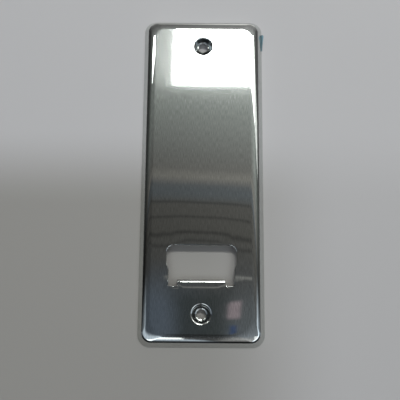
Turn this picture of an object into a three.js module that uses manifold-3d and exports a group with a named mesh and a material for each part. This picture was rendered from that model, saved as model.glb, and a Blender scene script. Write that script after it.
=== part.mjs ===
// Strap slot cover plate of a flush roller-shutter strap winder, in millimetres.
//
// The cover is one pressing in stainless sheet: a shallow tray with drafted side walls, a soft shoulder
// round its face, two dimpled screw seats and one strap opening with a turned-down lip. A remnant of the
// sheet's protective film is still caught under one long wall.
//
// Frame: origin at the middle of the wall plane, +Z out of the face, +Y along the plate, with the strap
// opening at the -Y end.

import * as THREE from 'three';
import { mergeVertices } from 'three/addons/utils/BufferGeometryUtils.js';
import Module from 'manifold-3d';

// Plate
const LENGTH = 166;
const WIDTH = 60.4;
const HEIGHT = 5;
const SHEET = 0.8;
const CORNER_RADIUS = 6;
const CORNER_STEPS = 4;

// Edge section: inset from the rim, and height over the wall plane
const WALL_INSET = 1.8;
const WALL_TOP = 3.2;
const BEND_CONTROL_INSET = 2.15;
const BEND_END_INSET = 2.85;
const SHOULDER_SLOPE = 0.5;
const SHOULDER_END_INSET = 6.2;
const SHOULDER_CORNER_RADIUS = 8;
const BEND_STEPS = 4;
const SHOULDER_STEPS = 6;

// Screw seats
const SCREW_SPACING = 135;
const SCREW_HOLE_RADIUS = 2.25;
const SEAT_FLOOR_RADIUS = 2.8;
const SEAT_MOUTH_RADIUS = 4.4;
const SEAT_SHOULDER_RADIUS = 1;
const SEAT_JOIN_RADIUS = 5.8;
const SEAT_OVERLAP = 0.3;
const SEAT_SIDES = 36;

// Strap opening
const OPENING_TOP = -35;
const OPENING_BOTTOM = -54.4;
const OPENING_HALF_WIDTH = 16.65;
const OPENING_HALF_WIDTH_LOW = 15.6;
const OPENING_CORNER = 3.4;
const WAIST_TOP = -42.6;
const WAIST_BOTTOM = -47;

// Strap lip
const LIP_WIDTH = 23;
const LIP_FACE = -51.1;
const LIP_DEPTH = 4;
const LIP_BEND_RADIUS = 0.8;
const LIP_OVERLAP = 0.4;

// Film remnant
const FILM_THICKNESS = 0.3;
const FILM_START = 67;
const FILM_LENGTH = 9;
const FILM_REACH = 1.35;
const FILM_TAIL = 0.5;
const FILM_TILT = 35;
const FILM_GAP = 0.35;
const FILM_CLEARANCE = 0.15;

const wasm = await Module();
wasm.setup();

const steel = new THREE.MeshStandardMaterial({ color: 0xb9bbb6, metalness: 1, roughness: 0.22 });
const film = new THREE.MeshStandardMaterial({ color: 0x4f8796, metalness: 0, roughness: 0.4 });

function toSolid(geometry) {
  const bare = geometry.clone();
  bare.deleteAttribute('normal');
  bare.deleteAttribute('uv');
  const merged = mergeVertices(bare, 1e-4);
  return new wasm.Manifold(new wasm.Mesh({
    numProp: 3,
    vertProperties: new Float32Array(merged.attributes.position.array),
    triVerts: new Uint32Array(merged.index.array),
  }));
}

function toGeometry(solid) {
  const mesh = solid.getMesh();
  const geometry = new THREE.BufferGeometry();
  geometry.setAttribute('position', new THREE.BufferAttribute(mesh.vertProperties, 3));
  geometry.setIndex(new THREE.BufferAttribute(mesh.triVerts, 1));
  geometry.computeVertexNormals();
  return geometry;
}

function namedMesh(name, geometry, material) {
  const mesh = new THREE.Mesh(geometry, material);
  mesh.name = name;
  return mesh;
}

// The outer edge section as points of (inset, height): drafted wall, tight bend, soft shoulder.
function outerSection() {
  const wallSlope = WALL_TOP / WALL_INSET;
  const bendControlHeight = WALL_TOP + wallSlope * (BEND_CONTROL_INSET - WALL_INSET);
  const bendEndHeight = bendControlHeight + SHOULDER_SLOPE * (BEND_END_INSET - BEND_CONTROL_INSET);
  const shoulderControlInset = BEND_END_INSET + (HEIGHT - bendEndHeight) / SHOULDER_SLOPE;
  const bend = new THREE.QuadraticBezierCurve(
    new THREE.Vector2(WALL_INSET, WALL_TOP),
    new THREE.Vector2(BEND_CONTROL_INSET, bendControlHeight),
    new THREE.Vector2(BEND_END_INSET, bendEndHeight),
  );
  const shoulder = new THREE.QuadraticBezierCurve(
    new THREE.Vector2(BEND_END_INSET, bendEndHeight),
    new THREE.Vector2(shoulderControlInset, HEIGHT),
    new THREE.Vector2(SHOULDER_END_INSET, HEIGHT),
  );
  return [
    new THREE.Vector2(0, 0),
    ...bend.getPoints(BEND_STEPS),
    ...shoulder.getPoints(SHOULDER_STEPS).slice(1),
  ];
}

// The same section one sheet thickness further in, cut square at the wall plane.
function innerSection(outer) {
  return outer.map((point, i) => {
    const before = outer[Math.max(i - 1, 0)];
    const after = outer[Math.min(i + 1, outer.length - 1)];
    const along = after.clone().sub(before).normalize();
    if (i === 0) return new THREE.Vector2(SHEET / along.y, 0);
    if (i === outer.length - 1) return new THREE.Vector2(point.x, HEIGHT - SHEET);
    return new THREE.Vector2(point.x + SHEET * along.y, point.y - SHEET * along.x);
  });
}

// Corner radius of the outline at an inset: concentric up to the bend, then opening out over the shoulder.
function cornerRadius(inset) {
  const concentric = CORNER_RADIUS - Math.min(inset, BEND_END_INSET);
  const across = THREE.MathUtils.clamp(
    (inset - BEND_END_INSET) / (SHOULDER_END_INSET - BEND_END_INSET), 0, 1);
  return THREE.MathUtils.lerp(concentric, SHOULDER_CORNER_RADIUS, across);
}

function outlineAt({ x: inset, y: height }) {
  const x = WIDTH / 2 - inset;
  const y = LENGTH / 2 - inset;
  const r = cornerRadius(inset);
  const outline = new THREE.Path();
  outline.absarc(x - r, y - r, r, 0, Math.PI / 2);
  outline.absarc(-x + r, y - r, r, Math.PI / 2, Math.PI);
  outline.absarc(-x + r, -y + r, r, Math.PI, Math.PI * 1.5);
  outline.absarc(x - r, -y + r, r, Math.PI * 1.5, Math.PI * 2);
  return outline.getPoints(CORNER_STEPS).map((p) => new THREE.Vector3(p.x, p.y, height));
}

// A closed skin over a stack of rings with equal point counts, with a fan over the first and last ring.
function loft(rings) {
  const count = rings[0].length;
  const points = rings.flat();
  const faces = [];
  for (let level = 0; level + 1 < rings.length; level += 1) {
    for (let i = 0; i < count; i += 1) {
      const a = level * count + i;
      const b = level * count + (i + 1) % count;
      faces.push(a, b, b + count, a, b + count, a + count);
    }
  }
  const bottom = points.push(new THREE.Vector3(0, 0, rings[0][0].z)) - 1;
  const top = points.push(new THREE.Vector3(0, 0, rings.at(-1)[0].z)) - 1;
  const last = (rings.length - 1) * count;
  for (let i = 0; i < count; i += 1) {
    const next = (i + 1) % count;
    faces.push(bottom, next, i, top, last + i, last + next);
  }
  const geometry = new THREE.BufferGeometry().setFromPoints(points);
  geometry.setIndex(faces);
  return geometry;
}

function tray() {
  const outer = outerSection();
  const inner = innerSection(outer);
  return toSolid(loft([...inner.reverse(), ...outer].map(outlineAt)));
}

// One dimpled screw seat: mouth shoulder, 45 degree cone and flat floor, all in the sheet's thickness.
function screwSeat() {
  const slope = Math.PI / 4;
  const shoulderCentre = SEAT_MOUTH_RADIUS + SEAT_SHOULDER_RADIUS * Math.sin(slope);
  const coneTop = HEIGHT - SEAT_SHOULDER_RADIUS * (1 - Math.cos(slope));
  const floor = coneTop - (SEAT_MOUTH_RADIUS - SEAT_FLOOR_RADIUS);
  const corner = SHEET * Math.tan(slope / 2);
  const profile = new THREE.Path();
  profile.moveTo(SCREW_HOLE_RADIUS, floor - SHEET);
  profile.lineTo(SEAT_FLOOR_RADIUS + corner, floor - SHEET);
  profile.lineTo(shoulderCentre - corner, HEIGHT - SHEET);
  profile.lineTo(SEAT_JOIN_RADIUS, HEIGHT - SHEET);
  profile.lineTo(SEAT_JOIN_RADIUS, HEIGHT);
  profile.lineTo(shoulderCentre, HEIGHT);
  profile.absarc(shoulderCentre, HEIGHT - SEAT_SHOULDER_RADIUS, SEAT_SHOULDER_RADIUS,
    Math.PI / 2, Math.PI / 2 + slope);
  profile.lineTo(SEAT_FLOOR_RADIUS, floor);
  profile.lineTo(SCREW_HOLE_RADIUS, floor);
  profile.lineTo(SCREW_HOLE_RADIUS, floor - SHEET);
  return new THREE.LatheGeometry(profile.getPoints(2), SEAT_SIDES).rotateX(Math.PI / 2);
}

function seatClearance() {
  const radius = SEAT_JOIN_RADIUS - SEAT_OVERLAP;
  const bore = new THREE.CylinderGeometry(radius, radius, HEIGHT * 2, SEAT_SIDES);
  return bore.rotateX(Math.PI / 2).translate(0, 0, HEIGHT);
}

// The strap opening, cut straight through the face: round top corners, a waist on each side, square foot.
function strapOpening() {
  const right = OPENING_HALF_WIDTH;
  const low = OPENING_HALF_WIDTH_LOW;
  const middle = (WAIST_TOP + WAIST_BOTTOM) / 2;
  const r = OPENING_CORNER;
  const shape = new THREE.Shape();
  shape.moveTo(low, OPENING_BOTTOM);
  shape.lineTo(low, WAIST_BOTTOM);
  shape.bezierCurveTo(low, middle, right, middle, right, WAIST_TOP);
  shape.lineTo(right, OPENING_TOP - r);
  shape.absarc(right - r, OPENING_TOP - r, r, 0, Math.PI / 2);
  shape.absarc(-right + r, OPENING_TOP - r, r, Math.PI / 2, Math.PI);
  shape.lineTo(-right, WAIST_TOP);
  shape.bezierCurveTo(-right, middle, -low, middle, -low, WAIST_BOTTOM);
  shape.lineTo(-low, OPENING_BOTTOM);
  shape.closePath();
  const cut = new THREE.ExtrudeGeometry(shape, { depth: HEIGHT, bevelEnabled: false, curveSegments: 4 });
  return cut.translate(0, 0, HEIGHT / 2);
}

// The strap lip: a tongue from the foot of the opening, turned down a right angle.
function strapLip() {
  const outerRadius = LIP_BEND_RADIUS + SHEET;
  const bendY = LIP_FACE - outerRadius;
  const bendZ = HEIGHT - outerRadius;
  const foot = HEIGHT - LIP_DEPTH;
  const root = OPENING_BOTTOM - LIP_OVERLAP;
  const section = new THREE.Shape();
  section.moveTo(root, HEIGHT);
  section.lineTo(root, HEIGHT - SHEET);
  section.absarc(bendY, bendZ, LIP_BEND_RADIUS, Math.PI / 2, 0, true);
  section.lineTo(LIP_FACE - SHEET, foot);
  section.lineTo(LIP_FACE, foot);
  section.absarc(bendY, bendZ, outerRadius, 0, Math.PI / 2);
  section.closePath();
  const lip = new THREE.ExtrudeGeometry(section, {
    depth: LIP_WIDTH, bevelEnabled: false, curveSegments: 4,
  });
  // The section lies in Y and Z, and runs along X.
  return lip.rotateZ(Math.PI / 2).rotateY(Math.PI / 2).translate(-LIP_WIDTH / 2, 0, 0);
}

function coverPlate() {
  let plate = tray().subtract(toSolid(strapOpening()));
  for (const end of [1, -1]) {
    const y = end * SCREW_SPACING / 2;
    plate = plate.subtract(toSolid(seatClearance().translate(0, y, 0)));
    plate = plate.add(toSolid(screwSeat().translate(0, y, 0)));
  }
  plate = plate.add(toSolid(strapLip()));
  return namedMesh('cover_plate', toGeometry(plate), steel);
}

// A torn sliver of protective film, widest near its upper end, leaning on the long wall at +X.
function filmRemnant() {
  const outline = new THREE.Shape();
  outline.moveTo(0, 0);
  outline.lineTo(FILM_TAIL, 0);
  outline.quadraticCurveTo(FILM_REACH / 2, FILM_LENGTH * 0.7, FILM_REACH, FILM_LENGTH * 0.85);
  outline.lineTo(FILM_REACH * 0.7, FILM_LENGTH);
  outline.lineTo(0, FILM_LENGTH * 0.9);
  outline.closePath();
  const sliver = new THREE.ExtrudeGeometry(outline, {
    depth: FILM_THICKNESS, bevelEnabled: false, curveSegments: 5,
  });
  const remnant = namedMesh('film_remnant', sliver, film);
  const tilt = THREE.MathUtils.degToRad(FILM_TILT);
  const lean = FILM_REACH * Math.sin(tilt) + FILM_CLEARANCE;
  remnant.rotation.y = tilt;
  remnant.position.set(WIDTH / 2 - lean * WALL_INSET / WALL_TOP + FILM_GAP, FILM_START, lean);
  return remnant;
}

const cover = new THREE.Group();
cover.name = 'strap_winder_cover';
cover.add(coverPlate(), filmRemnant());

export default cover;
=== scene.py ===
"""The finished look of a strap winder cover plate: one stainless pressing and a scrap of its film.

The pressing is modelled as a press shop makes it, in millimetres: first the outer skin of the sheet, then
its thickness, then the small radius that punching leaves on the cut edges.
"""

import math
from collections import namedtuple

import bmesh
import bpy
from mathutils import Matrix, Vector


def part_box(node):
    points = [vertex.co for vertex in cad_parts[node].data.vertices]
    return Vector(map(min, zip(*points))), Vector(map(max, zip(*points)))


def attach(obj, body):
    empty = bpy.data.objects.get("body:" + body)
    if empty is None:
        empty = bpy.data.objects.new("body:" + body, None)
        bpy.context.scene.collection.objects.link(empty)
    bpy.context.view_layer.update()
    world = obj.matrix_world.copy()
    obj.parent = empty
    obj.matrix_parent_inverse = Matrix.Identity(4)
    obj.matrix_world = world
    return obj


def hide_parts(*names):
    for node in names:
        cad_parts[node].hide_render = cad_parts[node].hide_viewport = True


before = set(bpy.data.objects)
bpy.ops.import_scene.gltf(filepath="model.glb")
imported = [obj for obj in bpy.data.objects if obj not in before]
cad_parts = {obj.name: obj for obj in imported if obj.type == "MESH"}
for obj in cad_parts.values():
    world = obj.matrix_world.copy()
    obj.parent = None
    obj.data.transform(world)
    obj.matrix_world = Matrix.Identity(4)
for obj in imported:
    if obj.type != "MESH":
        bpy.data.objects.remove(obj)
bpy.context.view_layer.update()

plate_low, plate_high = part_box("cover_plate")
film_low, film_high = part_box("film_remnant")

MM = 0.001

# Plate, in millimetres
LENGTH = (plate_high.y - plate_low.y) / MM
WIDTH = (plate_high.x - plate_low.x) / MM
HEIGHT = (plate_high.z - plate_low.z) / MM
SHEET = 0.8
CORNER_RADIUS = 6
CORNER_TIGHTENING = 0.5
CORNER_SEGMENTS = 20

# Edge section: inset from the rim, and height over the wall plane
WALL_INSET = 1.8
WALL_TOP = 3.2
BEND_CONTROL_INSET = 2.15
BEND_END_INSET = 2.85
SHOULDER_SLOPE = 0.5
SHOULDER_END_INSET = 6.2
FAR_SHOULDER_CORNER = 5
NEAR_SHOULDER_CORNER = 9
BEND_STEPS = 10
SHOULDER_STEPS = 14

# Screw seats
SCREW_SPACING = 135
SEAT_PLACES = (SCREW_SPACING / 2, -SCREW_SPACING / 2)
SEAT_SIDES = 72
SEAT_JOIN_RADIUS = 6
SEAT_MOUTH_RADIUS = 4.4
SEAT_SHOULDER_RADIUS = 1
SEAT_SHOULDER_STEPS = 8
SEAT_SLOPE = math.radians(45)
SEAT_FLOOR_RADIUS = 2.8
SEAT_FLOOR_FILLET = 0.2
SEAT_FLOOR_STEPS = 6
SEAT_FLOOR_DISH = 0.1
SCREW_HOLE_RADIUS = 2.25

# Strap opening and lip
OPENING_TOP = -35
OPENING_BOTTOM = -54.4
OPENING_HALF_WIDTH = 16.65
OPENING_HALF_WIDTH_LOW = 15.6
OPENING_CORNER = 3.4
OPENING_CORNER_STEPS = 12
WAIST_TOP = -43.6
WAIST_BOTTOM = -46
WAIST_ROUNDING = 1.1
WAIST_STEPS = 5
NOTCH_CORNER = 0.35
NOTCH_STEPS = 4
LIP_WIDTH = 23
LIP_FACE = -51.1
LIP_DEPTH = 4
LIP_OUTER_RADIUS = 1.6
LIP_BEND_STEPS = 12
LIP_START = LIP_FACE - LIP_OUTER_RADIUS

# Grid that the flat of the face is cut into, and how far its cuts keep from the edges of the opening
GRID_PITCH = 1.5
CLEAR_OF_OPENING = 0.8

# Radius left on cut edges, and the larger one that the punch draws on the face side of the opening
CUT_EDGE_RADIUS = 0.2
CUT_EDGE_STEPS = 3
ROLLED_EDGE_RADIUS = 0.42
ROLLED_EDGE_STEPS = 6
CUT_EDGE_ANGLE = math.radians(50)
SMOOTH_ANGLE = math.radians(40)

# The shine turns about a point this far off, in metres, so that it spreads straight across the plate
GRAIN_ORIGIN = 100

# The sheet has sunk a little at the middle of the punched opening
DIP_DEPTH = 0.09
DIP_REACH = 32
DIP_HALF_WIDTH = 9

# Two values closer than SAME_PLACE are taken as one, WELL_CLEAR tells an edge from the next one, and points
# within WELD are merged
SAME_PLACE = 0.01
WELL_CLEAR = 1
WELD = 0.001


# ---------------------------------------------------------------- selecting and editing

def only(piece):
    """Makes one object the selected and active one."""
    bpy.ops.object.select_all(action="DESELECT")
    piece.select_set(True)
    bpy.context.view_layer.objects.active = piece


def edit(piece):
    """Opens one object in edit mode with all of it selected."""
    only(piece)
    bpy.ops.object.mode_set(mode="EDIT")
    bpy.ops.mesh.select_all(action="SELECT")


def done():
    bpy.ops.object.mode_set(mode="OBJECT")


def pick(piece, kind, test):
    """Selects just the verts, edges or faces that pass the test."""
    bpy.ops.mesh.select_mode(type={"verts": "VERT", "edges": "EDGE", "faces": "FACE"}[kind])
    bpy.ops.mesh.select_all(action="DESELECT")
    mesh = bmesh.from_edit_mesh(piece.data)
    for part in getattr(mesh, kind):
        part.select_set(not part.hide and test(part))
    mesh.select_flush_mode()
    bmesh.update_edit_mesh(piece.data)


def near(a, b):
    return abs(a - b) < SAME_PLACE


def joined(pieces, name):
    """Several objects made one, with a new name."""
    bpy.ops.object.select_all(action="DESELECT")
    for piece in pieces:
        piece.select_set(True)
    bpy.context.view_layer.objects.active = pieces[0]
    bpy.ops.object.join()
    whole = bpy.context.object
    whole.name = name
    whole.data.name = name
    return whole


def apply_modifier(piece, kind, **settings):
    only(piece)
    bpy.ops.object.modifier_add(type=kind)
    modifier = piece.modifiers[-1]
    for name, value in settings.items():
        setattr(modifier, name, value)
    bpy.ops.object.modifier_apply(modifier=modifier.name)


def settle(piece):
    """Takes a piece from millimetres to metres, with its object at the origin, unturned and unscaled."""
    edit(piece)
    bpy.ops.transform.resize(value=(MM, MM, MM), center_override=(0, 0, 0))
    done()


# ---------------------------------------------------------------- the pressing

def quadratic(start, control, end, steps):
    """Points along a curve from start to end that leaves and arrives towards control."""
    points = []
    for step in range(steps + 1):
        t = step / steps
        weights = ((1 - t) ** 2, 2 * t * (1 - t), t ** 2)
        points.append(tuple(sum(w * p[i] for w, p in zip(weights, (start, control, end))) for i in (0, 1)))
    return points


def edge_section():
    """The outer skin from below the rim to the face as (inset, height): wall, tight bend, soft shoulder."""
    draft = WALL_TOP / WALL_INSET
    control_height = WALL_TOP + draft * (BEND_CONTROL_INSET - WALL_INSET)
    bend_end = (BEND_END_INSET, control_height + SHOULDER_SLOPE * (BEND_END_INSET - BEND_CONTROL_INSET))
    shoulder_control = (BEND_END_INSET + (HEIGHT - bend_end[1]) / SHOULDER_SLOPE, HEIGHT)
    bend = quadratic((WALL_INSET, WALL_TOP), (BEND_CONTROL_INSET, control_height), bend_end, BEND_STEPS)
    shoulder = quadratic(bend_end, shoulder_control, (SHOULDER_END_INSET, HEIGHT), SHOULDER_STEPS)
    return [(-SHEET / draft, -SHEET)] + bend + shoulder[1:]


def corner_radius(inset, shoulder_corner):
    """Corners that tighten up the wall to the bend, then open out over the shoulder."""
    at_bend = CORNER_RADIUS - CORNER_TIGHTENING * min(inset, BEND_END_INSET)
    across = max(0, (inset - BEND_END_INSET) / (SHOULDER_END_INSET - BEND_END_INSET))
    return at_bend + across * (shoulder_corner - at_bend)


def outline_ring(inset, height):
    """One closed loop of edges round the plate: a rectangle with its corners rounded."""
    bpy.ops.mesh.primitive_plane_add(size=1)
    ring = bpy.context.object
    edit(ring)
    bpy.ops.transform.resize(value=(WIDTH - 2 * inset, LENGTH - 2 * inset, 1), center_override=(0, 0, 0))
    bpy.ops.transform.translate(value=(0, 0, height))
    for end, shoulder_corner in ((1, FAR_SHOULDER_CORNER), (-1, NEAR_SHOULDER_CORNER)):
        pick(ring, "verts", lambda v: near(v.co.y, end * (LENGTH / 2 - inset)))
        bpy.ops.mesh.bevel(offset=corner_radius(inset, shoulder_corner), segments=CORNER_SEGMENTS,
                           affect="VERTICES", profile=0.5)
    bpy.ops.mesh.select_all(action="SELECT")
    bpy.ops.mesh.delete(type="ONLY_FACE")
    done()
    return ring


def side_skin():
    """Walls, bend and shoulder: the outline at each step of the edge section, bridged."""
    skin = joined([outline_ring(*step) for step in edge_section()], "side_skin")
    edit(skin)
    bpy.ops.mesh.bridge_edge_loops(type="SINGLE")
    done()
    return skin


def seat_section():
    """A screw seat from its join with the face to its hole, as (radius, height)."""
    shoulder_centre = SEAT_MOUTH_RADIUS + SEAT_SHOULDER_RADIUS * math.sin(SEAT_SLOPE)
    points = [(SEAT_JOIN_RADIUS, HEIGHT)]
    for step in range(SEAT_SHOULDER_STEPS + 1):
        angle = SEAT_SLOPE * step / SEAT_SHOULDER_STEPS
        points.append((shoulder_centre - SEAT_SHOULDER_RADIUS * math.sin(angle),
                       HEIGHT - SEAT_SHOULDER_RADIUS * (1 - math.cos(angle))))
    cone_top_radius, cone_top = points[-1]
    floor = cone_top - (cone_top_radius - SEAT_FLOOR_RADIUS) * math.tan(SEAT_SLOPE)
    outwards = SEAT_FLOOR_FILLET * math.cos(SEAT_SLOPE)
    upwards = SEAT_FLOOR_FILLET * math.sin(SEAT_SLOPE)
    on_the_cone = (SEAT_FLOOR_RADIUS + outwards, floor + upwards)
    on_the_floor = (SEAT_FLOOR_RADIUS - SEAT_FLOOR_FILLET, floor)
    fillet = quadratic(on_the_cone, (SEAT_FLOOR_RADIUS, floor), on_the_floor, SEAT_FLOOR_STEPS)
    return points + fillet + [(SCREW_HOLE_RADIUS, floor - SEAT_FLOOR_DISH)]


def screw_seat(y):
    """A dimple drawn down from a circle in the face, ring by ring."""
    section = seat_section()
    radius, height = section[0]
    bpy.ops.mesh.primitive_circle_add(vertices=SEAT_SIDES, radius=radius)
    seat = bpy.context.object
    edit(seat)
    bpy.ops.transform.translate(value=(0, y, height))
    for next_radius, next_height in section[1:]:
        shrink = next_radius / radius
        bpy.ops.mesh.extrude_region_move()
        bpy.ops.transform.resize(value=(shrink, shrink, 1), center_override=(0, y, height))
        bpy.ops.transform.translate(value=(0, 0, next_height - height))
        radius, height = next_radius, next_height
    done()
    return seat


def bisect_all(place, normal):
    bpy.ops.mesh.select_all(action="SELECT")
    bpy.ops.mesh.bisect(plane_co=place, plane_no=normal)


def round_off(piece, places, radius, segments):
    """Rounds the corners of a flat outline that lie at these (|x|, y) places."""
    pick(piece, "verts", lambda v: any(near(abs(v.co.x), x) and near(v.co.y, y) for x, y in places))
    bpy.ops.mesh.bevel(offset=radius, segments=segments, affect="VERTICES", profile=0.5)


def opening_outline():
    """The punched strap opening as a loop of edges, with the tongue that becomes the lip left standing."""
    bpy.ops.mesh.primitive_plane_add(size=1)
    hole = bpy.context.object
    edit(hole)
    bpy.ops.transform.resize(value=(2 * OPENING_HALF_WIDTH, OPENING_TOP - OPENING_BOTTOM, 1),
                             center_override=(0, 0, 0))
    bpy.ops.transform.translate(value=(0, (OPENING_TOP + OPENING_BOTTOM) / 2, HEIGHT))
    for y in (WAIST_TOP, WAIST_BOTTOM, LIP_START):
        bisect_all((0, y, 0), (0, 1, 0))
    for x in (-LIP_WIDTH / 2, LIP_WIDTH / 2):
        bisect_all((x, 0, 0), (1, 0, 0))
    pick(hole, "verts", lambda v: abs(v.co.x) > LIP_WIDTH / 2 + WELL_CLEAR
         and v.co.y < WAIST_BOTTOM + SAME_PLACE)
    bpy.ops.transform.resize(value=(OPENING_HALF_WIDTH_LOW / OPENING_HALF_WIDTH, 1, 1),
                             center_override=(0, 0, 0))
    pick(hole, "faces", lambda f: abs(f.calc_center_median().x) < WELL_CLEAR
         and f.calc_center_median().y < LIP_START)
    bpy.ops.mesh.delete(type="FACE")
    bpy.ops.mesh.select_all(action="SELECT")
    bpy.ops.mesh.dissolve_limited()
    waist = [(OPENING_HALF_WIDTH, WAIST_TOP), (OPENING_HALF_WIDTH_LOW, WAIST_BOTTOM)]
    notch = [(OPENING_HALF_WIDTH_LOW, OPENING_BOTTOM), (LIP_WIDTH / 2, OPENING_BOTTOM)]
    round_off(hole, [(OPENING_HALF_WIDTH, OPENING_TOP)], OPENING_CORNER, OPENING_CORNER_STEPS)
    round_off(hole, waist, WAIST_ROUNDING, WAIST_STEPS)
    round_off(hole, notch, NOTCH_CORNER, NOTCH_STEPS)
    bpy.ops.mesh.select_all(action="SELECT")
    bpy.ops.mesh.delete(type="ONLY_FACE")
    done()
    return hole


def on_the_flat(face):
    """Whether a face lies in the flat of the plate's face and outside both screw seats."""
    place = face.calc_center_median()
    in_a_seat = any(math.hypot(place.x, place.y - y) < SEAT_JOIN_RADIUS for y in SEAT_PLACES)
    return all(near(v.co.z, HEIGHT) for v in face.verts) and not in_a_seat


def cuts(half, edges):
    """The grid's cuts between -half and half that are clear of these edges."""
    count = int(half / GRID_PITCH)
    places = [(step + 0.5) * GRID_PITCH for step in range(-count, count + 1)]
    return [place for place in places
            if abs(place) < half and min(abs(place - edge) for edge in edges) > CLEAR_OF_OPENING]


def fill_face(skin):
    """Fills the flat of the face round its three openings and cuts it into a grid.

    No cut runs close beside an edge of the strap opening, which leaves room to round that edge later.
    """
    edit(skin)
    pick(skin, "edges", lambda e: len(e.link_faces) < 2 and all(near(v.co.z, HEIGHT) for v in e.verts))
    bpy.ops.mesh.fill()
    pick(skin, "faces", on_the_flat)
    bpy.ops.mesh.dissolve_limited(use_dissolve_boundaries=False)
    pick(skin, "faces", on_the_flat)
    bpy.ops.mesh.hide(unselected=True)
    half_widths = (OPENING_HALF_WIDTH, OPENING_HALF_WIDTH_LOW, LIP_WIDTH / 2)
    sides = [side * half_width for half_width in half_widths for side in (-1, 1)]
    ends = [OPENING_TOP, WAIST_TOP, WAIST_BOTTOM, LIP_START, OPENING_BOTTOM]
    for x in cuts(WIDTH / 2 - SHOULDER_END_INSET, sides):
        bisect_all((x, 0, 0), (1, 0, 0))
    for y in cuts(LENGTH / 2 - SHOULDER_END_INSET, ends):
        bisect_all((0, y, 0), (0, 1, 0))
    bpy.ops.mesh.reveal(select=False)
    done()


def turn_down_lip(skin):
    """Bends the tongue at the foot of the opening through a right angle and draws it out."""
    edit(skin)
    pick(skin, "edges", lambda e: all(near(v.co.y, LIP_START) and abs(v.co.x) < LIP_WIDTH / 2 + SAME_PLACE
                                      for v in e.verts) and len(e.link_faces) == 1)
    bpy.ops.mesh.spin(steps=LIP_BEND_STEPS, angle=math.pi / 2, axis=(1, 0, 0),
                      center=(0, LIP_START, HEIGHT - LIP_OUTER_RADIUS))
    bpy.ops.mesh.extrude_region_move()
    bpy.ops.transform.translate(value=(0, 0, LIP_OUTER_RADIUS - LIP_DEPTH))
    done()


def sink_round_opening(skin):
    """The face falls away slightly towards the middle of the opening, as punching leaves it."""
    pick(skin, "verts", lambda v: near(v.co.z, HEIGHT) and abs(v.co.x) < DIP_HALF_WIDTH
         and OPENING_BOTTOM - SAME_PLACE < v.co.y < OPENING_TOP + SAME_PLACE)
    bpy.ops.transform.translate(value=(0, 0, -DIP_DEPTH), use_proportional_edit=True,
                                proportional_edit_falloff="SHARP", proportional_size=DIP_REACH)


def by_the_opening(place):
    """Whether a place on the face is by the opening's outline, from the foot of the lip upwards."""
    in_height = place.z > HEIGHT - 2 * DIP_DEPTH
    in_length = LIP_START < place.y < OPENING_TOP + WELL_CLEAR
    in_width = abs(place.x) < OPENING_HALF_WIDTH + WELL_CLEAR
    off_the_lip = abs(place.x) > LIP_WIDTH / 2 + WELL_CLEAR or place.y > WAIST_TOP
    return in_height and in_length and in_width and off_the_lip


def roll_opening_edge(plate):
    """The larger radius that the punch draws on the face side of the opening."""
    edit(plate)
    pick(plate, "edges", lambda e: len(e.link_faces) == 2 and e.calc_face_angle() > CUT_EDGE_ANGLE
         and all(by_the_opening(v.co) for v in e.verts))
    bpy.ops.mesh.bevel(offset=ROLLED_EDGE_RADIUS, segments=ROLLED_EDGE_STEPS, affect="EDGES")
    done()


def cover_plate():
    """The whole pressing: its outer skin, then the thickness of the sheet, then its cut edges."""
    seats = [screw_seat(y) for y in SEAT_PLACES]
    plate = joined([side_skin(), opening_outline()] + seats, "pressed_cover")
    fill_face(plate)
    turn_down_lip(plate)
    edit(plate)
    bpy.ops.mesh.remove_doubles(threshold=WELD)
    sink_round_opening(plate)
    bpy.ops.mesh.select_all(action="SELECT")
    bpy.ops.mesh.normals_make_consistent(inside=False)
    done()
    apply_modifier(plate, "SOLIDIFY", thickness=SHEET, offset=-1, use_even_offset=True,
                   use_quality_normals=True)
    edit(plate)
    bpy.ops.mesh.bisect(plane_co=(0, 0, 0), plane_no=(0, 0, 1), clear_inner=True, use_fill=True)
    done()
    roll_opening_edge(plate)
    apply_modifier(plate, "BEVEL", width=CUT_EDGE_RADIUS, segments=CUT_EDGE_STEPS, limit_method="ANGLE",
                   angle_limit=CUT_EDGE_ANGLE, offset_type="OFFSET")
    settle(plate)
    only(plate)
    bpy.ops.object.shade_smooth_by_angle(angle=SMOOTH_ANGLE)
    apply_modifier(plate, "WEIGHTED_NORMAL", keep_sharp=True)
    plate.data.use_auto_texspace = False
    plate.data.texspace_location = (0, -GRAIN_ORIGIN, 0)
    plate.data.texspace_size = (1, 1, 1)
    return plate


# ---------------------------------------------------------------- the film remnant

# In millimetres: thickness, foot over the bottom of the film's box, and room left under the box's top
FILM_THICKNESS = 0.08
FILM_FOOT = 0.35
FILM_HEADROOM = 0.1
FILM_COLUMNS = 8
FILM_ROWS = 36

# Width as a part of the full width: at the tail, how fast it grows, and where and how steeply the end is
# torn off
FILM_TAIL = 0.25
FILM_TAPER = 1.6
FILM_TEAR = 0.85
FILM_TEAR_SLOPE = 3.2

# The outer part of the film waves: where along it, and by how many millimetres
FILM_WAVES = ((0.3, 0.08), (0.55, -0.08), (0.8, 0.1))
FILM_WAVE_REACH = 1
FILM_OUTER_PART = 0.3


def film_width(along):
    """The part of its full width that the film has at a place along it, from 0 at the tail to 1."""
    if along < FILM_TEAR:
        return FILM_TAIL + (1 - FILM_TAIL) * along ** FILM_TAPER
    return 1 - FILM_TEAR_SLOPE * (along - FILM_TEAR)


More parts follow.
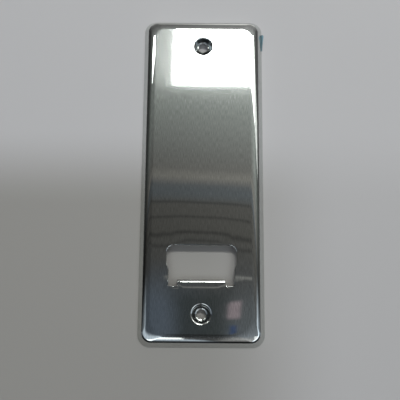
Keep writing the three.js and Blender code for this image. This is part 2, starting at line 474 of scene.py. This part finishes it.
def film_remnant():
    """A torn sliver: a strip, tapered to its tail, that lies by the wall and curls up at its outer edge."""
    low = film_low / MM
    high = film_high / MM
    reach = high.x - low.x
    length = high.y - low.y
    foot = low.z + FILM_FOOT
    curl = high.z - foot - FILM_HEADROOM
    bpy.ops.mesh.primitive_grid_add(x_subdivisions=FILM_COLUMNS, y_subdivisions=FILM_ROWS, size=1)
    film = bpy.context.object
    film.name = "film_sliver"
    edit(film)
    bpy.ops.transform.resize(value=(reach, length, 1), center_override=(0, 0, 0))
    bpy.ops.transform.translate(value=(low.x + reach / 2, low.y + length / 2, foot))
    for column in range(FILM_COLUMNS + 1):
        across = column / FILM_COLUMNS
        pick(film, "verts", lambda v: near(v.co.x, low.x + reach * across))
        bpy.ops.transform.translate(value=(0, 0, curl * across ** 2))
    for row in range(FILM_ROWS + 1):
        along = row / FILM_ROWS
        y = low.y + length * along
        width = film_width(along)
        pick(film, "verts", lambda v: near(v.co.y, y))
        bpy.ops.transform.resize(value=(width, 1, width), center_override=(low.x, y, foot))
    for along, wave in FILM_WAVES:
        y = low.y + length * along
        pick(film, "verts", lambda v: abs(v.co.y - y) < length / FILM_ROWS
             and v.co.x > low.x + reach * FILM_OUTER_PART)
        bpy.ops.transform.translate(value=(0, 0, wave), use_proportional_edit=True,
                                    proportional_edit_falloff="SMOOTH", proportional_size=FILM_WAVE_REACH)
    done()
    apply_modifier(film, "SOLIDIFY", thickness=FILM_THICKNESS, offset=-1)
    settle(film)
    only(film)
    bpy.ops.object.shade_smooth_by_angle(angle=SMOOTH_ANGLE)
    return film


# ---------------------------------------------------------------- shader nodes

def grey(value, tint=(1, 1, 1)):
    """A grey, or one with a slight tint."""
    return tuple(value * part for part in tint)


class Signal:
    """A shader value that Python arithmetic works on: each operation adds its Math node."""

    def __init__(self, nodes, socket):
        self.nodes = nodes
        self.socket = socket

    def math(self, operation, first, second):
        return self.nodes.add("ShaderNodeMath", {"operation": operation}, {0: first, 1: second})

    def __add__(self, other):
        return self.math("ADD", self, other)

    def __sub__(self, other):
        return self.math("SUBTRACT", self, other)

    def __rsub__(self, other):
        return self.math("SUBTRACT", other, self)

    def __mul__(self, other):
        return self.math("MULTIPLY", self, other)

    def __truediv__(self, other):
        return self.math("DIVIDE", self, other)

    __radd__ = __add__
    __rmul__ = __mul__


class Nodes:
    """Adds nodes to one shader tree, settings first and then socket values or links."""

    def __init__(self, owner):
        owner.use_nodes = True
        self.tree = owner.node_tree
        self.tree.nodes.clear()

    def add(self, kind, settings=None, values=None, out=0):
        """Adds a node and gives one of its outputs, if it has any."""
        node = self.tree.nodes.new(kind)
        for name, setting in (settings or {}).items():
            if name == "stops":
                self.set_stops(node.color_ramp, setting)
            else:
                setattr(node, name, setting)
        for name, value in (values or {}).items():
            if isinstance(value, Signal):
                self.tree.links.new(value.socket, node.inputs[name])
            else:
                node.inputs[name].default_value = value
        return Signal(self, node.outputs[out]) if node.outputs else node

    def rise(self, value, low, high):
        """0 below low, 1 above high, and a smooth rise between."""
        return self.add("ShaderNodeMapRange", {"interpolation_type": "SMOOTHSTEP"},
                        {"Value": value, "From Min": low, "From Max": high})

    def band(self, value, low, high, soft):
        """1 between low and high and 0 outside, with soft edges."""
        return self.rise(value, low - soft, low + soft) * (1 - self.rise(value, high - soft, high + soft))

    def blend(self, factor, first, second):
        """A colour that goes from first to second as factor goes from 0 to 1."""
        ends = {"A": first, "B": second}
        colours = {name: end if isinstance(end, Signal) else (*end, 1) for name, end in ends.items()}
        return self.add("ShaderNodeMix", {"data_type": "RGBA"}, {"Factor": factor, **colours}, out=2)

    def split(self, vector):
        """The X, Y and Z of a vector."""
        parts = self.add("ShaderNodeSeparateXYZ", {}, {"Vector": vector}).socket.node
        return [Signal(self, parts.outputs[axis]) for axis in "XYZ"]

    def set_stops(self, ramp, stops):
        while len(ramp.elements) < len(stops):
            ramp.elements.new(1)
        for element, (place, colour) in zip(ramp.elements, stops):
            element.position = place
            element.color = (*colour, 1)


# ---------------------------------------------------------------- finishes

# Steel: its tones, the grain's fineness and stretch, and the roughness and spread of its two reflections,
# of which the haze has the part HAZE
STEEL_TONES = [(0.3, (0.54, 0.555, 0.54)), (0.7, (0.72, 0.735, 0.72))]
GRAIN_SCALE = 3600
GRAIN_STRETCH = (1, 0.1, 1)
SMUDGE_SCALE = 60
SHARP_ROUGHNESS = 0.02
SMUDGE_ROUGHNESS = 0.015
SHARP_SPREAD = 0.7
HAZE = 0.062
HAZE_ROUGHNESS = 0.155
GRAIN_ROUGHNESS = 0.05
HAZE_SPREAD = 0.85

# Film: dark beside the wall and pale at its outer edge, the pale being a painted highlight where it curls up
# into the light, with the border between them ragged, in metres
FILM_DARK = (0.045, 0.13, 0.17)
FILM_LIT_PALE = (0.3, 0.46, 0.54)
FILM_BLOTCH_SCALE = 700
FILM_RAGGEDNESS = 0.0004
FILM_PALES_FROM = film_low.x + 0.0002
FILM_PALES_TO = film_high.x - 0.0003
FILM_ROUGHNESS = 0.35
FILM_BLOTCH_ROUGHNESS = 0.15

# Table: its tones in the light and in the painted shade, where in Y the painted shade falls, and where in X
# it thins out
TABLE_SIZE = 4
TABLE_LIT = grey(0.61, (1.03, 0.99, 1))
TABLE_SHADED = grey(0.345, (1.06, 1, 0.94))
SHADE_FALLS = (-0.016, 0.026)
SHADE_THINS = (-0.005, 0.07)
SHADE_THINNING = 0.8
TABLE_MOTTLE_SCALE = 12
TABLE_ROUGHNESS = 0.55
TABLE_MOTTLE_ROUGHNESS = 0.1


def brushed_stainless():
    """Bright sheet: a sharp reflection, and a haze that the fine grain spreads across the plate."""
    material = bpy.data.materials.new("brushed_stainless")
    nodes = Nodes(material)
    place = nodes.add("ShaderNodeTexCoord", out="Object")
    streaks = nodes.add("ShaderNodeMapping", {}, {"Vector": place, "Scale": GRAIN_STRETCH})
    grain = nodes.add("ShaderNodeTexNoise", {}, {"Vector": streaks, "Scale": GRAIN_SCALE, "Detail": 2})
    smudges = nodes.add("ShaderNodeTexNoise", {}, {"Vector": place, "Scale": SMUDGE_SCALE, "Detail": 3})
    tone = nodes.add("ShaderNodeValToRGB", {"stops": STEEL_TONES}, {"Fac": grain})
    sharp = nodes.add("ShaderNodeBsdfPrincipled", {}, {
        "Base Color": tone, "Metallic": 1, "Roughness": SHARP_ROUGHNESS + SMUDGE_ROUGHNESS * smudges,
        "Anisotropic": SHARP_SPREAD})
    haze = nodes.add("ShaderNodeBsdfPrincipled", {}, {
        "Base Color": tone, "Metallic": 1, "Roughness": HAZE_ROUGHNESS + GRAIN_ROUGHNESS * (grain - 0.5),
        "Anisotropic": HAZE_SPREAD})
    both = nodes.add("ShaderNodeMixShader", {}, {0: HAZE, 1: sharp, 2: haze})
    nodes.add("ShaderNodeOutputMaterial", {}, {"Surface": both})
    return material


def protective_film():
    """Blue-green film, with a painted highlight: its colour pales where it curls up into the light."""
    material = bpy.data.materials.new("protective_film")
    nodes = Nodes(material)
    place = nodes.add("ShaderNodeTexCoord", out="Object")
    across = nodes.split(place)[0]
    blotches = nodes.add("ShaderNodeTexNoise", {},
                         {"Vector": place, "Scale": FILM_BLOTCH_SCALE, "Detail": 2})
    # Painted highlight: the colour goes from the film's dark to a lit pale towards its curled-up outer edge.
    curl = nodes.rise(across + FILM_RAGGEDNESS * (blotches - 0.5), FILM_PALES_FROM, FILM_PALES_TO)
    film = nodes.add("ShaderNodeBsdfPrincipled", {}, {
        "Base Color": nodes.blend(curl, FILM_DARK, FILM_LIT_PALE),
        "Roughness": FILM_ROUGHNESS + FILM_BLOTCH_ROUGHNESS * blotches})
    nodes.add("ShaderNodeOutputMaterial", {}, {"Surface": film})
    return material


def table_top():
    """A pale table, with the shade of whoever stands at its near side painted into its colour."""
    material = bpy.data.materials.new("table_top")
    nodes = Nodes(material)
    place = nodes.add("ShaderNodeTexCoord", out="Object")
    across, along = nodes.split(place)[:2]
    # Painted shade: the table's colour darkens towards its near side, and less so towards +X.
    near_side = 1 - nodes.rise(along, *SHADE_FALLS)
    shade = near_side * (1 - SHADE_THINNING * nodes.rise(across, *SHADE_THINS))
    mottle = nodes.add("ShaderNodeTexNoise", {},
                       {"Vector": place, "Scale": TABLE_MOTTLE_SCALE, "Detail": 2})
    top = nodes.add("ShaderNodeBsdfPrincipled", {}, {
        "Base Color": nodes.blend(shade, TABLE_LIT, TABLE_SHADED),
        "Roughness": TABLE_ROUGHNESS + TABLE_MOTTLE_ROUGHNESS * mottle})
    nodes.add("ShaderNodeOutputMaterial", {}, {"Surface": top})
    return material


def finish_with(piece, material):
    piece.data.materials.clear()
    piece.data.materials.append(material)


# ---------------------------------------------------------------- the room that shows in the steel

# Its tones run by lean, the degrees that a direction leans from straight up towards +Y, and by aside, the
# distance to +X per unit of height. For aside, a height is taken as no lower than LOWEST_HEIGHT.
LOWEST_HEIGHT = 0.2
LEAN_LOW = -30
LEAN_HIGH = 60
ROW_SLANT = 2.5
ROOM_TONES = [
    (-30, grey(0.4)),
    (-12, grey(0.2, (0.9, 1, 1.1))),
    (2, grey(0.125, (0.9, 1, 1.08))),
    (4.5, grey(0.11, (0.92, 1, 1.06))),
    (6, grey(0.085, (0.97, 1, 1.02))),
    (9.5, grey(0.09, (1.03, 1.01, 0.94))),
    (12, grey(0.1, (1.03, 1.01, 0.95))),
    (12.7, grey(0.125, (0.9, 1, 1.07))),
    (13.5, grey(0.125, (0.9, 1, 1.07))),
    (13.85, grey(0.155)),
    (14.15, grey(0.225, (1.04, 1.01, 0.93))),
    (14.5, grey(0.225, (1.04, 1.01, 0.93))),
    (14.9, grey(0.172, (1.03, 1.01, 0.95))),
    (16, grey(0.19, (1, 1.02, 0.97))),
    (18.5, grey(0.265, (0.97, 1.03, 0.98))),
    (20, grey(0.3, (0.96, 1.04, 0.98))),
    (26, grey(0.32, (0.96, 1.03, 0.98))),
    (45, grey(0.4)),
]

# Dark lines between the ceiling's boards: the lean of each and half its width
CEILING_LINES = ((8.58, 0.09), (9.33, 0.14), (10.72, 0.09), (12.05, 0.09))
LINE_SOFTNESS = 0.14
LINE_STRENGTH = 0.6
LINE_COLOUR = grey(0.03)

# Patches: the lean and the aside between which each comes in and goes out, or None where it has no such
# edge, how far it covers what is behind it, and its colour
Patch = namedtuple("Patch", "lean_in lean_out aside_in aside_out cover colour")
COOL_CEILING = Patch(None, (3.5, 8), None, (-0.05, 0.02), 0.7, (0.115, 0.145, 0.19))
MAKER = Patch(None, (4.5, 7), (-0.052, -0.02), (0.019, 0.051), 0.85, (0.038, 0.045, 0.045))
CABLE = Patch((5.99, 6.11), (6.14, 6.26), (-0.05, -0.03), (0.09, 0.11), 1, (0.25, 0.25, 0.24))
PINK_SHEET = Patch((3, 3.4), (4.4, 4.8), (0.034, 0.038), (0.05, 0.054), 1, (0.3, 0.25, 0.27))
BLUE_SPOT = Patch((1.65, 2.05), (2.4, 2.8), (0.038, 0.042), (0.046, 0.05), 1, (0.045, 0.075, 0.16))
STAND_OVERHEAD = Patch((-42, -38), (-1.5, 2.5), (-0.08, -0.02), (0.02, 0.08), 0.8, grey(0.02))

# Windows on the near side: the lean of their top edge close in and far out, the distances aside between
# which it climbs, and where each window begins
GLOW_COLOUR = (1.05, 1.2, 1.35)
GLOW_SOFTNESS = 5
LEFT_GLOW_TOP = (-12, 5)
LEFT_GLOW_CLIMB = (0.3, 0.9)
LEFT_GLOW_SLANT = 320
LEFT_GLOW_START = (-50, -36)
RIGHT_GLOW_TOP = (-30, 5)
RIGHT_GLOW_CLIMB = (0.35, 0.9)
RIGHT_GLOW_START = (0.3, 0.4)

# A lit wall far ahead: the parts of a direction along +Z and +Y where it shows
FAR_WALL_FOOT = 0.06
FAR_WALL_HEAD = 0.3
FAR_WALL_SOFTNESS = 0.04
FAR_WALL_AHEAD = (0.75, 0.9)
FAR_WALL_COLOUR = (0.8, 0.8, 0.77)

# Strength: all of it high up, and low down LOW_BEHIND towards -Y, to which LOW_BESIDE and then LOW_AHEAD are
# added as a direction turns to +Y
HIGH_UP = (0.55, 0.85)
LOW_BEHIND = 0.02
LOW_BESIDE = 0.18
LOW_AHEAD = 0.4
BESIDE = (-0.5, 0)
AHEAD = (0.5, 0.8)

# Strength on the left, how much more there is on the right, and the distances aside between which it rises
DIM_SIDE = 0.6
BRIGHT_SIDE = 0.75
SIDES_MEET = (-0.25, 0.25)


def lean_at(degrees):
    """The place on the ramp of the room's tones for a lean."""
    return (degrees - LEAN_LOW) / (LEAN_HIGH - LEAN_LOW)


def add_patch(nodes, tone, lean, aside, patch):
    """The room's tone with one patch laid over it."""
    cover = patch.cover
    for value, comes_in, goes_out in ((lean, patch.lean_in, patch.lean_out),
                                      (aside, patch.aside_in, patch.aside_out)):
        if comes_in:
            cover = nodes.rise(value, *comes_in) * cover
        if goes_out:
            cover = (1 - nodes.rise(value, *goes_out)) * cover
    return nodes.blend(cover, tone, patch.colour)


def window_glow(nodes, lean, outwards, top, climb):
    """1 below a window's top edge, which climbs as it goes outwards, and 0 above it."""
    edge = top[0] + (top[1] - top[0]) * nodes.rise(outwards, *climb)
    return 1 - nodes.rise(lean - edge, -GLOW_SOFTNESS, GLOW_SOFTNESS)


def room():
    """The room over the plate, as it shows in the steel."""
    world = bpy.data.worlds.new("room")
    bpy.context.scene.world = world
    nodes = Nodes(world)
    side, ahead, up = nodes.split(nodes.add("ShaderNodeTexCoord", out="Generated"))
    lean = up.math("ARCTAN2", ahead, up) * math.degrees(1)
    aside = side / up.math("MAXIMUM", up, LOWEST_HEIGHT)
    row = lean + ROW_SLANT * aside
    stops = [(lean_at(degrees), colour) for degrees, colour in ROOM_TONES]
    tone = nodes.add("ShaderNodeValToRGB", {"stops": stops}, {"Fac": lean_at(row)})
    for patch in (COOL_CEILING, MAKER):
        tone = add_patch(nodes, tone, lean, aside, patch)
    lines = sum(nodes.band(row, place - half, place + half, LINE_SOFTNESS) for place, half in CEILING_LINES)
    tone = nodes.blend(lines * LINE_STRENGTH, tone, LINE_COLOUR)
    for patch in (CABLE, PINK_SHEET, BLUE_SPOT):
        tone = add_patch(nodes, tone, lean, aside, patch)
    left_start = 1 - nodes.rise(lean + LEFT_GLOW_SLANT * aside, *LEFT_GLOW_START)
    left_glow = window_glow(nodes, lean, 0 - aside, LEFT_GLOW_TOP, LEFT_GLOW_CLIMB) * left_start
    right_start = nodes.rise(aside, *RIGHT_GLOW_START)
    right_glow = window_glow(nodes, lean, aside, RIGHT_GLOW_TOP, RIGHT_GLOW_CLIMB) * right_start
    tone = nodes.blend(left_glow + right_glow, tone, GLOW_COLOUR)
    far_wall = nodes.band(up, FAR_WALL_FOOT, FAR_WALL_HEAD, FAR_WALL_SOFTNESS)
    far_wall = far_wall * nodes.rise(ahead, *FAR_WALL_AHEAD)
    tone = nodes.blend(far_wall, tone, FAR_WALL_COLOUR)
    tone = add_patch(nodes, tone, lean, aside, STAND_OVERHEAD)
    lit_side = DIM_SIDE + BRIGHT_SIDE * nodes.rise(aside, *SIDES_MEET)
    low_down = LOW_BEHIND + LOW_BESIDE * nodes.rise(ahead, *BESIDE) + LOW_AHEAD * nodes.rise(ahead, *AHEAD)
    strength = low_down + (1 - low_down) * nodes.rise(up, *HIGH_UP)
    shown = strength.math("MAXIMUM", strength, far_wall)
    light = nodes.add("ShaderNodeBackground", {}, {"Color": tone, "Strength": shown * lit_side})
    nodes.add("ShaderNodeOutputWorld", {}, {"Surface": light})


# ---------------------------------------------------------------- table, lights and camera

# Light panels: the name, the middle and the size in metres, and the brightness
PANELS = [
    ("ceiling_panel", (0.16, 0.87, 1.7), (0.49, 0.296), 24),
    ("right_panel", (0.82, 0.87, 1.7), (0.82, 0.296), 6),
    ("far_right_panel", (1.83, 0.87, 1.7), (1.15, 0.296), 1),
    ("far_left_panel", (-0.675, 0.89, 1.7), (0.65, 0.13), 8),
    ("near_left_panel", (-0.48, -1.15, 1.7), (0.84, 0.5), 1.5),
    ("near_right_panel", (1.1, -0.9, 1.7), (0.9, 0.8), 0.9),
]
PANEL_COLOUR = (0.97, 1, 0.975)

# Camera: its place in metres, its turn in radians, and its lens and sensor in millimetres
CAMERA_PLACE = (0, -0.08673, 0.33917)
CAMERA_TURN = (0.2178, 0.0011, 0.0082)
CAMERA_LENS = 63.47
CAMERA_SENSOR = 36
CAMERA_NEAREST = 0.01


def floor():
    """The table that the plate lies on."""
    bpy.ops.mesh.primitive_plane_add(size=TABLE_SIZE)
    table = bpy.context.object
    table.name = "table"
    finish_with(table, table_top())


def panel(name, middle, size, brightness):
    """A soft rectangular light that faces down, with a radiance given by brightness."""
    light = bpy.data.lights.new(name, "AREA")
    light.shape = "RECTANGLE"
    light.size, light.size_y = size
    light.color = PANEL_COLOUR
    light.energy = brightness * math.pi * size[0] * size[1]
    lamp = bpy.data.objects.new(name, light)
    lamp.location = middle
    bpy.context.scene.collection.objects.link(lamp)


def camera():
    """The camera, over the near end of the plate and looking down at it."""
    view = bpy.data.cameras.new("camera")
    view.sensor_width = CAMERA_SENSOR
    view.lens = CAMERA_LENS
    view.clip_start = CAMERA_NEAREST
    viewer = bpy.data.objects.new("camera", view)
    viewer.location = CAMERA_PLACE
    viewer.rotation_euler = CAMERA_TURN
    bpy.context.scene.collection.objects.link(viewer)
    bpy.context.scene.camera = viewer


# ---------------------------------------------------------------- the scene

plate = cover_plate()
finish_with(plate, brushed_stainless())
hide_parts("cover_plate")
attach(plate, "root")

film = film_remnant()
finish_with(film, protective_film())
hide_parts("film_remnant")
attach(film, "root")

floor()
room()
for name, middle, size, brightness in PANELS:
    panel(name, middle, size, brightness)
camera()
bpy.context.scene.view_settings.view_transform = "Standard"
